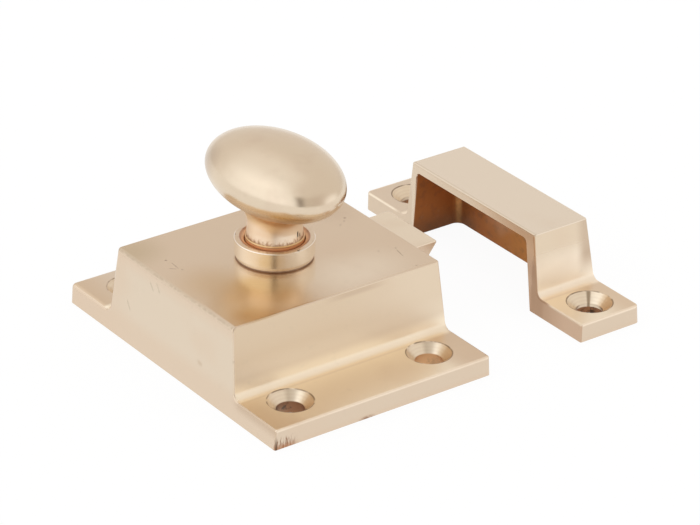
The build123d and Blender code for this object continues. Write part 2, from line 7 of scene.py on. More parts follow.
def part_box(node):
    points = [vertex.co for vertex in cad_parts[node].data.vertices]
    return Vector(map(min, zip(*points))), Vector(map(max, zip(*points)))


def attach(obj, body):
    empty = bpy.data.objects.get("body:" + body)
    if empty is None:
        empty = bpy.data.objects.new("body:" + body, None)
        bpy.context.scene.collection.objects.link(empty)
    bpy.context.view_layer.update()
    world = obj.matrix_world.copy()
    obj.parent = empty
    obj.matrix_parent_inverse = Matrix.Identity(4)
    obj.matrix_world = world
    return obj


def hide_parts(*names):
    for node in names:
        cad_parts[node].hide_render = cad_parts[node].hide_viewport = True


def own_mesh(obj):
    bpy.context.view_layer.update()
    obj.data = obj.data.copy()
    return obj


# Cast-brass cupboard latch: satin brass case, collar, oval knob, bolt and box strike.
# Lengths in the materials are millimetres, and everything else is in metres.
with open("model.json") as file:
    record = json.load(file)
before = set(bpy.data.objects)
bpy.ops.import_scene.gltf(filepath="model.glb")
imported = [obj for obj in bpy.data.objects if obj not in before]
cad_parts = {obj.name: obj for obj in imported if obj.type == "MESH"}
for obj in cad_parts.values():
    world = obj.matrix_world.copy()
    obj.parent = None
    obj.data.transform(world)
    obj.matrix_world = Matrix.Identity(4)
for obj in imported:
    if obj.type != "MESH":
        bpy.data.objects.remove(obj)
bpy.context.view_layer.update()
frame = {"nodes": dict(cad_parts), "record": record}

# Camera: its way round the latch, and how far the latch sits off the picture's middle
CAMERA_AZIMUTH = -36.737
CAMERA_ELEVATION = 27.617
CAMERA_ROLL = 1.155
CAMERA_DISTANCE = 0.6026
CAMERA_RIGHT = 0.01257
CAMERA_UP = 0.01282
CAMERA_LENS = 180.69
CAMERA_CLIP = (0.01, 10.0)

# Floor: its size, and how much of what is seen directly is plain white light of its own
FLOOR_RADIUS = 1.5
FLOOR_CORNERS = 96
FLOOR_OWN_LIGHT = 0.93
FLOOR_LEVEL = 1.015
FLOOR_MATT = (0.90, 0.90, 0.90, 1.0)
WHITE = (1.0, 1.0, 1.0, 1.0)

# Room: soft boxes as (azimuth, elevation, inner angle, outer angle, light), and its dim side
ROOM_LEVEL = 0.84
ROOM_BOXES = (
    (-92.0, 12.0, 10.0, 75.0, 0.40),
    (-150.0, 62.0, 5.0, 45.0, 0.18),
    (46.0, 3.0, 5.0, 30.0, 0.34),
)
SIDE_DIM = 0.13
UPRIGHT_DIM = 0.70
WARM_LEVEL = 0.50
COOL_LEVEL = 1.25
ROOM_WARM = (1.00, 0.90, 0.80, 1.0)
ROOM_COOL = (1.00, 1.02, 1.05, 1.0)

# Millimetres to the metre, and the spring's points that count as one, in metres
MM = 1000.0
MERGE_DISTANCE = 0.000001

# From here on lengths are millimetres. Where two values stand for one border, the surface
# looks one way at the first and another way at the second.

# Case and strike: the lean of their walls, and the borders of their sides, roof and flanges
END_LEAN = 0.0664
SIDE_LEAN = 0.1317
BOX_FOOT = 19.43
BOX_SIDE = (17.0, 17.4)
CASE_ROOF = (15.7, 15.95)
FLANGE_SIDE = (20.0, 21.0)
CASE_FLANGE = 3.65
STRIKE_FLANGE = 3.45

# Screw holes: countersink and bore radius, the lip above the bore, and the turning marks
CASE_SINK = 3.95
STRIKE_SINK = 4.05
BORE = 2.4
CASE_LIP = 0.0
STRIKE_LIP = 0.6
SINK_RINGS = 14.0

# Where round a countersink its painted reflections lie, a dark streak and a warm patch, and the
# streak's width and amount
STREAK_TURN = 0.93
WARM_TURN = -0.55
CASE_STREAK = (0.45, 0.45)
STRIKE_STREAK = (0.16, 0.95)

# Collar: its height, and dark spots on its rim as (angle, size)
COLLAR_HEIGHT = 3.65
COLLAR_SPOTS = ((-1.55, 0.22), (2.45, 0.18), (-0.9, 0.12))

# Knob: the heights of its neck's foot and top, of its head's underside, and of its belly
NECK_FOOT = 19.95
NECK_TOP = (24.6, 23.2)
HEAD_FOOT = (27.6, 26.4)
HEAD_BELLY = (30.0, 28.0)

# Knocks and scratches: on the top by x and y, and on the end face by y and z
TOP_SCRATCHES = (
    ((-16.6, 7.2), (-16.8, 5.1)),
    ((-18.0, 5.8), (-17.3, 5.2)),
    ((17.6, -10.3), (17.2, -12.4)),
)
TOP_SPOTS = (
    (-16.9, 8.7, 0.30),
    (-16.5, 4.3, 0.22),
    (17.9, -9.5, 0.25),
    (17.3, -8.2, 0.20),
    (14.8, -8.8, 0.20),
    (17.0, -16.6, 0.25),
    (17.4, 4.5, 0.34),
    (15.2, 2.7, 0.28),
    (16.6, 3.6, 0.22),
)
END_SCRATCHES = (
    ((6.7, 14.0), (5.8, 12.9)),
    ((13.3, 7.8), (12.4, 6.5)),
    ((4.8, 14.6), (3.9, 13.3)),
)

# Strike's mouth: half its width and its back at the foot, its top, and its walls' lean
MOUTH_HALF = 17.1
MOUTH_BACK = 52.85
MOUTH_TOP = 13.4
MOUTH_LEAN = 0.105
MOUTH_SKEW = 0.034

# Gloss over the bare metal: the strike's, and every other piece's
STRIKE_GLOSS = 0.12
GLOSS = 0.5

# Brass on each part and face. These tones were matched to the photo face by face, so part of the
# difference between them is the photo's light, painted, and not the metal
CASE_END = (0.755, 0.632, 0.490, 1.0)
CASE_SHADE = (0.600, 0.450, 0.320, 1.0)
CASE_TOP = (0.745, 0.595, 0.445, 1.0)
CASE_TOP_PALE = (0.830, 0.700, 0.550, 1.0)
CASE_TOP_GREEN = (0.640, 0.510, 0.350, 1.0)
CASE_TOP_GOLD = (0.640, 0.435, 0.235, 1.0)
CASE_TOP_DEEP = (0.600, 0.390, 0.175, 1.0)
CASE_SIDE = (0.745, 0.595, 0.430, 1.0)
CASE_SIDE_PALE = (0.790, 0.650, 0.490, 1.0)
CASE_SIDE_LOW = (0.850, 0.720, 0.560, 1.0)
CASE_FILLET = (1.000, 0.880, 0.700, 1.0)
# Painted light: the near flanges' paler tone, and the strike's foot-edge highlights
FLANGE_LIT = (0.980, 0.860, 0.680, 1.0)
FLANGE_FAR = (0.775, 0.650, 0.515, 1.0)
FLANGE_PLAIN = (0.790, 0.625, 0.455, 1.0)
RIM = (0.735, 0.600, 0.460, 1.0)
# A painted highlight for the upper edges of the flanges' rims
EDGE_HIGHLIGHT = (1.000, 0.860, 0.690, 1.0)
# Painted shade for edges
EDGE_SHADE = (0.620, 0.500, 0.370, 1.0)
STRIKE_TOP = (0.860, 0.750, 0.615, 1.0)
STRIKE_SIDE = (0.775, 0.635, 0.475, 1.0)
# The strike's sides: painted shade towards the back, and painted light towards the feet
STRIKE_SIDE_SHADE = (0.640, 0.500, 0.370, 1.0)
STRIKE_SIDE_LIT = (1.000, 0.880, 0.720, 1.0)
STRIKE_FRONT = (0.730, 0.600, 0.460, 1.0)
STRIKE_FRONT_NEAR = (0.560, 0.360, 0.220, 1.0)
STRIKE_LEG = (0.480, 0.310, 0.200, 1.0)
STRIKE_FOOT = (0.600, 0.420, 0.290, 1.0)
BOLT_TOP = (0.860, 0.735, 0.575, 1.0)
BOLT_SIDE = (0.700, 0.550, 0.410, 1.0)
KNOB = (0.760, 0.630, 0.475, 1.0)
NECK = (1.000, 0.860, 0.700, 1.0)
# The collar's pale wall, partly a painted sheen
COLLAR_WALL_AND_SHEEN = (1.000, 0.950, 0.860, 1.0)
COLLAR_TOP = (0.740, 0.590, 0.440, 1.0)
NECK_RIDGE = (0.850, 0.600, 0.300, 1.0)
NECK_TARNISH = (0.700, 0.480, 0.280, 1.0)
# The knob's golder underside: a painted reflection
HEAD_UNDER_REFLECTION = (0.880, 0.700, 0.470, 1.0)
HEAD_SHADE = (0.560, 0.450, 0.340, 1.0)
HEAD_CLOUD = (0.680, 0.530, 0.400, 1.0)
SINK = (0.900, 0.775, 0.600, 1.0)
# The countersinks' painted reflections: a dark streak and a warm patch
SINK_REFLECTION_DARK = (0.350, 0.260, 0.170, 1.0)
SINK_REFLECTION_WARM = (0.700, 0.500, 0.320, 1.0)
SINK_EDGE = (0.220, 0.135, 0.075, 1.0)
PLAIN_BRASS = (0.780, 0.590, 0.330, 1.0)
PLAIN_BRASS_PALE = (0.800, 0.660, 0.450, 1.0)

# What lies on the brass
PINK_CLOUD = (0.740, 0.570, 0.420, 1.0)
# Inside the strike's mouth: brown that is cast skin and in part painted shade, and a painted golden
# reflection
CAST_SKIN_AND_SHADE = (0.430, 0.155, 0.040, 1.0)
CAST_ORANGE = (0.560, 0.245, 0.065, 1.0)
CORNER_REFLECTION_GOLD = (0.820, 0.460, 0.170, 1.0)
COPPER_STAIN = (0.440, 0.190, 0.090, 1.0)
RUST = (0.560, 0.300, 0.175, 1.0)
RUST_DARK = (0.300, 0.120, 0.060, 1.0)
# Rust made pale as painted light, lifting the shade in the gap under the knob's neck
RUST_AND_FILL_LIGHT = (0.900, 0.580, 0.340, 1.0)
# Painted shade on the collar's foot
FOOT_SHADE_BAND = (0.440, 0.290, 0.200, 1.0)
BORE_BROWN = (0.330, 0.155, 0.075, 1.0)
BORE_COPPER = (0.700, 0.420, 0.215, 1.0)
CORNER_BROWN = (0.260, 0.115, 0.060, 1.0)
SCRATCH = (0.330, 0.240, 0.160, 1.0)
END_SCRATCH = (0.520, 0.430, 0.320, 1.0)
DARK_STAIN = (0.140, 0.080, 0.045, 1.0)
GREY_STAIN = (0.420, 0.380, 0.300, 1.0)
BLACK = (0.030, 0.022, 0.016, 1.0)

# Steel, plated or drawn to wire
STEEL = (0.60, 0.61, 0.63, 1.0)
STEEL_BLOOM = (0.50, 0.50, 0.47, 1.0)
WIRE = (0.45, 0.44, 0.43, 1.0)
WIRE_OIL = (0.28, 0.25, 0.21, 1.0)

# Patches as (centre, radii, softness, amount, colour): on the case's top, and on the knob's head.
# Painted light: gold and deep ones add to the collar's reflection, the head's stand for reflections
CASE_TOP_PATCHES = (
    ((7.5, -13.0), (13.5, 9.5, 9.0), 0.9, 1.0, CASE_TOP_PALE),
    ((-15.0, -4.0), (9.0, 11.0, 9.0), 0.9, 0.6, CASE_TOP_GOLD),
    ((-9.0, -9.5), (8.0, 9.0, 9.0), 0.7, 1.0, CASE_TOP_GOLD),
    ((-9.5, -7.5), (4.5, 5.0, 9.0), 0.8, 0.9, CASE_TOP_DEEP),
    ((-15.0, -15.5), (6.0, 5.0, 9.0), 0.8, 0.6, CASE_TOP_DEEP),
    ((-20.0, 15.0), (8.0, 8.0, 6.0), 0.9, 1.0, CASE_TOP_GREEN),
    ((17.0, 9.0), (6.0, 8.0, 6.0), 0.9, 0.35, CASE_SHADE),
)
HEAD_PATCHES = (
    ((-8.6, 9.0, 32.5), (4.0, 6.0, 5.0), 0.9, 0.9, HEAD_SHADE),
    ((6.4, -11.2, 31.5), (4.0, 5.0, 5.0), 0.9, 0.5, HEAD_SHADE),
)

# Upright dark ticks on the neck, as (angle, width, lower end, upper end, colour)
NECK_TICKS = (
    (-1.25, 0.05, 21.0, 22.0, BLACK),
    (-1.12, 0.04, 20.8, 21.5, DARK_STAIN),
)

# A bore's cast skin, and how much of it is black
DARK_BORE = (BORE_BROWN, 0.9)
BRIGHT_BORE = (BORE_COPPER, 0.25)


class Shade:
    """A value in a node tree: Python's operators add Math nodes, and node() adds any other."""

    def __init__(self, tree, socket=None):
        self.tree = tree
        self.socket = socket

    def node(self, kind, settings, values, output=0):
        """Adds a node. Its inputs take plain values, or other sockets as Shades."""
        made = self.tree.nodes.new(kind)
        for name, setting in settings.items():
            setattr(made, name, setting)
        for place, value in values.items():
            if isinstance(value, Shade):
                self.tree.links.new(value.socket, made.inputs[place])
            else:
                made.inputs[place].default_value = value
        return Shade(self.tree, made.outputs[output])

    def math(self, operation, *others):
        values = dict(enumerate((self, *others)))
        return self.node("ShaderNodeMath", {"operation": operation}, values)

    def vector(self, operation, other, output=0):
        values = {0: self, 1: other}
        return self.node("ShaderNodeVectorMath", {"operation": operation}, values, output)

    def length(self):
        """A vector's length."""
        return self.node("ShaderNodeVectorMath", {"operation": "LENGTH"}, {0: self}, "Value")

    def __add__(self, other):
        return self.math("ADD", other)

    def __sub__(self, other):
        return self.math("SUBTRACT", other)

    def __rsub__(self, other):
        return self.math("MULTIPLY", -1.0).math("ADD", other)

    def __mul__(self, other):
        return self.math("MULTIPLY", other)

    def __truediv__(self, other):
        return self.math("DIVIDE", other)

    def __abs__(self):
        return self.math("ABSOLUTE")

    def step(self, start, end):
        """0 at the start value and 1 at the end value, eased between them. Either may be larger."""
        values = {"Value": self, "From Min": start, "From Max": end}
        return self.node("ShaderNodeMapRange", {"interpolation_type": "SMOOTHSTEP"}, values)

    def both(self, other):
        """The smaller of two values."""
        return self.math("MINIMUM", other)

    def either(self, other):
        """The larger of two values."""
        return self.math("MAXIMUM", other)

    def within(self, low, high, soft):
        """1 between two values, fading to 0 over the soft width about each."""
        rising = self.step(low - soft, low + soft)
        return rising.both(self.step(high + soft, high - soft))

    def parts(self):
        """The three numbers of a vector."""
        split = self.tree.nodes.new("ShaderNodeSeparateXYZ")
        self.tree.links.new(self.socket, split.inputs[0])
        return [Shade(self.tree, output) for output in split.outputs]

    def mixed(self, first, second):
        """One colour turned into another as this value goes from 0 to 1."""
        values = {"Factor": self, 6: first, 7: second}
        return self.node("ShaderNodeMix", {"data_type": "RGBA"}, values, 2)

    def noise(self, per_mm, detail=2.0, roughness=0.5, stretch=(1.0, 1.0, 1.0)):
        """Soft noise about 0.5 over this place, with so many features to the millimetre."""
        seen = self.vector("MULTIPLY", stretch)
        values = {"Vector": seen, "Scale": per_mm, "Detail": detail, "Roughness": roughness}
        return self.node("ShaderNodeTexNoise", {"normalize": True}, values)


class Finish:
    """One surface as it is built up, layer over layer, and then turned into a material."""

    def __init__(self, name, colour, roughness):
        self.material = bpy.data.materials.new(name)
        self.material.use_nodes = True
        self.tree = self.material.node_tree
        self.tree.nodes.clear()
        blank = Shade(self.tree)
        local = blank.node("ShaderNodeTexCoord", {}, {}, "Object")
        self.place = local.vector("MULTIPLY", (MM, MM, MM))
        self.x, self.y, self.z = self.place.parts()
        nothing = self.x * 0.0
        self.colour = nothing.mixed(colour, colour)
        self.roughness = nothing + roughness
        self.metal = None
        self.gloss = GLOSS
        self.grain = self.place
        self.height = nothing

    def layer(self, mask, colour=None, roughness=None):
        """Lays a colour, a roughness or both over what is there, where the mask is 1."""
        if colour is not None:
            self.colour = mask.mixed(self.colour, colour)
        if roughness is not None:
            self.roughness = self.roughness + mask * (roughness - self.roughness)

    def dull(self, mask, metal):
        """Takes the metal's shine away under a mask, as dirt and tarnish do."""
        if self.metal is None:
            self.metal = self.x * 0.0 + 1.0
        self.metal = self.metal + mask * (metal - self.metal)

    def patch(self, centre, radii, soft):
        """1 inside an ellipsoid and 0 outside, with a soft border."""
        offset = self.place.vector("SUBTRACT", centre)
        return offset.vector("DIVIDE", radii).length().step(1.0, 1.0 - soft)

    def stroke(self, start, end, width):
        """1 along a straight scratch between two points, and 0 off it."""
        start, end = Vector(start), Vector(end)
        along = end - start
        offset = self.place.vector("SUBTRACT", start)
        share = offset.vector("DOT_PRODUCT", along, "Value") / along.length_squared
        values = {0: along, "Scale": share.both(1.0).either(0.0)}
        nearest = share.node("ShaderNodeVectorMath", {"operation": "SCALE"}, values)
        return offset.vector("SUBTRACT", nearest).length().step(width, width / 3)

    def reach(self, centre):
        """The distance from an upright axis."""
        across, along = self.x - centre[0], self.y - centre[1]
        return (across * across + along * along).math("SQRT")

    def turn(self, centre):
        """The angle about an upright axis, in radians."""
        return (self.y - centre[1]).math("ARCTAN2", self.x - centre[0])

    def done(self):
        """The material, with one shader that takes every value built up so far."""
        shader = self.tree.nodes.new("ShaderNodeBsdfPrincipled")
        output = self.tree.nodes.new("ShaderNodeOutputMaterial")
        link = self.tree.links.new
        link(self.colour.socket, shader.inputs["Base Color"])
        link(self.roughness.socket, shader.inputs["Roughness"])
        if self.metal is None:
            shader.inputs["Metallic"].default_value = 1.0
        else:
            link(self.metal.socket, shader.inputs["Metallic"])
        shader.inputs["Specular IOR Level"].default_value = self.gloss
        values = {"Height": self.height, "Distance": 1.0 / MM}
        bump = self.height.node("ShaderNodeBump", {}, values)
        link(bump.socket, shader.inputs["Normal"])
        link(shader.outputs[0], output.inputs["Surface"])
        return self.material


def node_box(name):
    """A node's lowest and highest corner, in millimetres."""
    low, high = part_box(name)
    return low * MM, high * MM


def middle_of(low, high):
    """The upright axis (x, y) through the middle of a box."""
    return (low.x + high.x) / 2, (low.y + high.y) / 2


def satin_brass(name, colour, seed):
    """Hand-finished cast brass: uneven tone, a satin grain and a slightly wavy surface."""
    finish = Finish(name, colour, 0.23)
    finish.grain = finish.place.vector("ADD", (seed * 37.0, seed * 11.0, seed * 23.0))
    finish.roughness = finish.roughness + (finish.grain.noise(0.2, 3.0) - 0.5) * 0.10
    waves, satin = finish.grain.noise(0.07, 1.0), finish.grain.noise(9.0, 2.0, 0.7)
    finish.height = waves * 0.08 + satin * 0.0012
    return finish


def worn(finish):
    """The last layers of every brass casting: faint pink clouds and a fine grey mottle."""
    finish.layer(finish.grain.noise(0.08, 2.0).step(0.50, 0.75) * 0.35, PINK_CLOUD)
    finish.layer(finish.grain.noise(0.6, 4.0, 0.6).step(0.58, 0.80) * 0.10, GREY_STAIN)
    return finish.done()


def screw_spots(name):
    """The centres (x, y) of a record's bolt pattern."""
    row = next(row for row in frame["record"]["mounts"] if row["name"] == name)
    middle = [value * MM for value in row["pos_m"][:2]]
    half_x = row["dims"].get("spacing_x_mm", 0.0) / 2
    half_y = row["dims"]["spacing_y_mm"] / 2
    ways = sorted({(side * half_x, end * half_y) for side in (-1, 1) for end in (-1, 1)})
    return [(middle[0] + x, middle[1] + y) for x, y in ways]


def screw_hole(finish, centre, top, sink, lip, streak, skin):
    """A countersink with painted reflections, a dark streak (width, amount) and a warm patch, and a
    bore of cast skin (colour, black).
    """
    reach, turn = finish.reach(centre), finish.turn(centre)
    width, amount = streak
    colour, black = skin
    below = finish.z.step(top - 0.02, top - 0.12)
    cone = below * reach.step(sink + 0.15, sink - 0.05)
    rings = (reach * SINK_RINGS).math("SINE") * 0.5 + 0.5
    finish.layer(cone, SINK)
    finish.layer(cone * rings * 0.25, PINK_CLOUD)
    # Painted reflections: a dark streak and a warm patch, at one turn in every countersink
    finish.layer(cone * abs(turn - STREAK_TURN).step(width, width / 4) * amount, SINK_REFLECTION_DARK)
    finish.layer(cone * abs(turn - WARM_TURN).step(0.9, 0.2) * 0.8, SINK_REFLECTION_WARM)
    edge = abs(reach - sink).step(0.18, 0.05) * finish.z.step(top - 0.4, top - 0.1)
    finish.layer(edge * finish.grain.noise(0.5, 2.0).step(0.30, 0.55) * 0.8, SINK_EDGE)
    bore_top = top - sink + BORE - lip
    bore = reach.step(BORE + 0.35, BORE + 0.12) * finish.z.step(bore_top + 0.1, bore_top - 0.1)
    finish.layer(bore, colour, 0.5)
    finish.layer(bore * finish.grain.noise(0.35, 4.0, 0.7).step(0.46, 0.60) * black, BLACK)
    finish.dull(bore, 0.8)


def mark(finish, mask, colour, amount):
    """A small mark of one colour that breaks up at its edges."""
    torn = finish.grain.noise(3.0, 3.0, 0.7).step(0.30, 0.55)
    finish.layer(mask * torn * amount, colour)


def line(across, along, outer, inner):
    """1 on the line where both distances are 0, and 0 where they come to the outer value."""
    return (abs(across) + abs(along)).step(outer, inner)


def flanges(finish, level):
    """The upper sides of both flanges, and of the near one."""
    start, end = FLANGE_SIDE
    both = abs(finish.y).step(start, end) * finish.z.step(level + 0.20, level + 0.02)
    return both, both * finish.y.step(-start, -end)


def outer_rims(finish, high):
    """The upright rims at both outer ends of the flanges."""
    return abs(finish.y).step(high.y - 0.25, high.y - 0.1)


def edge_highlights(finish, high, level):
    """Paints a highlight along the upper edges of the flanges' rims."""
    edges = line(abs(finish.y) - high.y, finish.z - level, 0.55, 0.20)
    finish.layer(edges * 0.8, EDGE_HIGHLIGHT, 0.40)


def case_material():
    low, high = node_box("case")
    finish = satin_brass("case_brass", CASE_END, 1.0)
    x, y, z = finish.x, finish.y, finish.z
    off_end = (x - z * END_LEAN).step(low.x + 0.15, low.x + 0.35)

    # End face: a little darker along its top and foot, and round its far edge
    finish.layer(z.step(12.8, 15.6).either(z.step(6.5, 3.0)) * 0.55, PINK_CLOUD)
    finish.layer(y.step(9.0, 20.0) * 0.35, PINK_CLOUD)
    finish.layer(y.step(-18.0, -21.0) * z.step(1.5, 3.5) * 0.8, CASE_SHADE)

    # Near and far side: paler towards the bolt and brightest in the hollow, as the photo's light is
    side = abs(y).step(*BOX_SIDE) * off_end
    finish.layer(side, CASE_SIDE, 0.36)
    finish.layer(side * x.step(-5.0, 18.0), CASE_SIDE_PALE)
    finish.layer(side * z.step(10.5, 7.0), CASE_SIDE_LOW, 0.48)
    finish.layer(side * z.step(7.0, 4.9), CASE_FILLET)
    shade = abs(z - high.z + 0.6).step(0.9, 0.2) * x.within(-1.0, 9.0, 3.0)
    finish.layer(side * shade * 0.6, CASE_SHADE)

    # Top: golden where the collar is reflected, pale beside it, and greenish at the far corner
    top = z.step(*CASE_ROOF)
    finish.layer(top, CASE_TOP)
    for centre, radii, soft, amount, colour in CASE_TOP_PATCHES:
        finish.layer(top * finish.patch((*centre, high.z), radii, soft) * amount, colour)

    # Flanges and their rims: the near flange is paler, as the photo's light is
    both, near = (mask * off_end for mask in flanges(finish, CASE_FLANGE))
    finish.layer(both, FLANGE_FAR, 0.36)
    finish.layer(near, FLANGE_LIT)
    finish.layer(near * x.step(13.0, 18.5), FLANGE_PLAIN)
    finish.layer(both * x.step(-14.0, -22.0) * 0.45, CASE_TOP_GOLD)
    rims = outer_rims(finish, high) * off_end
    finish.layer(rims, RIM)
    finish.layer(rims * z.step(1.2, 0.3) * 0.5, PINK_CLOUD)
    edge_highlights(finish, high, CASE_FLANGE)

    for centre in screw_spots("case_screws"):
        skin = DARK_BORE if centre[0] < 0.0 else BRIGHT_BORE
        screw_hole(finish, centre, CASE_FLANGE, CASE_SINK, CASE_LIP, CASE_STREAK, skin)

    # Brown streaks at the near left corner of the foot, and a small stain along the rim
    streaks = finish.grain.noise(1.0, 3.0, 0.7, (5.0, 5.0, 0.7)).step(0.42, 0.60)
    corner = x.step(-17.0, -20.0) * y.step(-30.6, -30.9) * (z - streaks * 0.9).step(1.6, 0.5)
    finish.layer(corner * streaks * 0.9, CORNER_BROWN)
    finish.layer(corner * z.step(1.2, 0.2) * 0.7, COPPER_STAIN)
    corner_line = line(x - low.x - 0.3, y - low.y - 0.05, 0.28, 0.12)
    finish.layer(corner_line * z.step(3.0, 0.5) * 0.9, DARK_STAIN)
    mark(finish, finish.patch((-3.7, low.y, 0.0), (2.2, 1.0, 0.8), 0.9), CORNER_BROWN, 0.8)

    # Small knocks and scratches on the top and the end face
    for start, end in TOP_SCRATCHES:
        mark(finish, finish.stroke((*start, high.z), (*end, high.z), 0.16), SCRATCH, 0.55)
    for across, along, size in TOP_SPOTS:
        spot = finish.patch((across, along, high.z), (size, size, size), 0.6)
        mark(finish, spot, SCRATCH, 0.7)
    for scratch in END_SCRATCHES:
        start, end = ((low.x + height * END_LEAN, along, height) for along, height in scratch)
        mark(finish, finish.stroke(start, end, 0.25), END_SCRATCH, 0.5)
    mark(finish, finish.patch((low.x + 0.5, -8.8, 5.9), (1.0, 1.2, 0.8), 0.8), CASE_SHADE, 0.5)

    # Edges: the upper one of the end face darkened as painted shade, with dirt in it, and the box's
    # worn upright ones
    dirt = finish.grain.noise(0.9, 3.0, 0.6).step(0.38, 0.58)
    upper = (x - low.x - 1.15, z - high.z + 0.1)
    finish.layer(line(*upper, 0.9, 0.3) * 0.7, EDGE_SHADE)
    finish.layer(line(*upper, 0.38, 0.17) * dirt * 0.75, SCRATCH)
    upright = line(x - z * END_LEAN - low.x - 0.1, abs(y) + z * SIDE_LEAN - BOX_FOOT, 0.30, 0.12)
    worn_spots = finish.grain.noise(0.22, 4.0, 0.6).step(0.50, 0.62)
    finish.layer(upright * worn_spots * abs(z - 8.0).step(4.0, 3.0) * 0.5, DARK_STAIN)
    return worn(finish)


def collar_material():
    low, high = node_box("collar")
    finish = satin_brass("collar_brass", COLLAR_WALL_AND_SHEEN, 2.0)
    z = finish.z
    middle = middle_of(low, high)
    radius = (high.x - low.x) / 2
    reach = finish.reach(middle)
    foot = high.z - COLLAR_HEIGHT
    # The wall is pale partly as a painted sheen; the top is darker, and low on the wall lies a
    # painted golden reflection of the case
    finish.layer(z.step(high.z - 0.12, high.z - 0.02), COLLAR_TOP)
    finish.layer(z.within(foot + 0.3, foot + 0.8, 0.3) * 0.3, CASE_TOP_GOLD)

    # Rust-brown mouth round the knob's neck
    rust = finish.grain.noise(0.9, 4.0, 0.65)
    mouth = reach.step(radius - 0.75, radius - 1.0)
    finish.layer(mouth, RUST, 0.45)
    finish.layer(mouth * rust.step(0.50, 0.68) * 0.7, RUST_DARK)
    # Paler rust deep in the mouth: painted light that lifts the shade in the gap under the neck
    finish.layer(reach.step(6.0, 5.4), RUST_AND_FILL_LIGHT)
    finish.dull(mouth, 0.35)
    ring = reach.within(radius - 0.9, radius - 0.3, 0.25)
    finish.layer(ring * rust.step(0.55, 0.68) * 0.4, RUST)

    # Purple-brown band at the foot, painted shade where the collar meets the case, and a dark line
    # of dirt
    wavy = z + (rust - 0.5) * 0.25
    band = wavy.step(foot + 0.45, foot + 0.25) * mouth.step(0.5, 0.0)
    finish.layer(band, FOOT_SHADE_BAND, 0.4)
    finish.layer(band * wavy.step(foot + 0.18, foot + 0.02) * 0.6, DARK_STAIN)
    finish.dull(band, 0.6)

    # Dark spots on the rim of the top
    for angle, size in COLLAR_SPOTS:
        across = middle[0] + math.cos(angle) * (radius - 0.2)
        along = middle[1] + math.sin(angle) * (radius - 0.2)
        spot = finish.patch((across, along, high.z), (size, size, size), 0.4)
        finish.layer(spot * 0.8, DARK_STAIN)
    return worn(finish)


def knob_material():
    low, high = node_box("knob")
    finish = satin_brass("knob_brass", KNOB, 3.0)
    z = finish.z

    # Head: faint clouds, duller below its belly, two shades for painted reflections; its underside,
    # golder as a painted reflection, and neck
    clouds = finish.grain.noise(0.18, 3.0, 0.6).step(0.50, 0.72)
    finish.layer(clouds * z.step(26.0, 28.0) * 0.30, HEAD_CLOUD)
    finish.layer(z.step(*HEAD_BELLY), roughness=0.34)
    finish.layer(z.step(*HEAD_FOOT), HEAD_UNDER_REFLECTION)
    finish.layer(z.step(*NECK_TOP), NECK)
    for centre, radii, soft, amount, colour in HEAD_PATCHES:
        finish.layer(finish.patch(centre, radii, soft) * amount, colour)

    # Tarnish that runs up from the neck's foot in short streaks
    turn = finish.turn(middle_of(low, high))
    around = turn.node("ShaderNodeCombineXYZ", {}, {0: turn * 6.0, 1: z * 0.7, 2: 0.0})
    streak = around.noise(1.6, 3.0, 0.7).step(0.25, 0.80)
    tarnish = (z - streak * 0.7).step(NECK_FOOT + 1.1, NECK_FOOT - 0.1)
    finish.layer(tarnish * 0.8, NECK_TARNISH)
    dark_foot = (z - streak * 0.9).step(NECK_FOOT + 0.40, NECK_FOOT - 0.20)
    finish.layer(dark_foot * 0.7, RUST_DARK)
    finish.layer(abs(z - NECK_FOOT - 0.15).step(0.16, 0.05) * 0.8, NECK_RIDGE)
    # The neck's foot in the same pale rust: painted light in the shaded gap
    finish.layer(z.step(NECK_FOOT + 0.02, NECK_FOOT - 0.08), RUST_AND_FILL_LIGHT, 0.5)
    for angle, width, lower, upper, colour in NECK_TICKS:
        finish.layer(abs(turn - angle).step(width, 0.02) * z.within(lower, upper, 0.25), colour)
    return worn(finish)


def bolt_material():
    _, high = node_box("bolt")
    finish = satin_brass("bolt_brass", BOLT_TOP, 4.0)
    # Its sides darker than its top: partly the metal's tone, partly painted shade
    finish.layer(finish.z.step(high.z - 0.1, high.z - 0.4), BOLT_SIDE)
    return worn(finish)


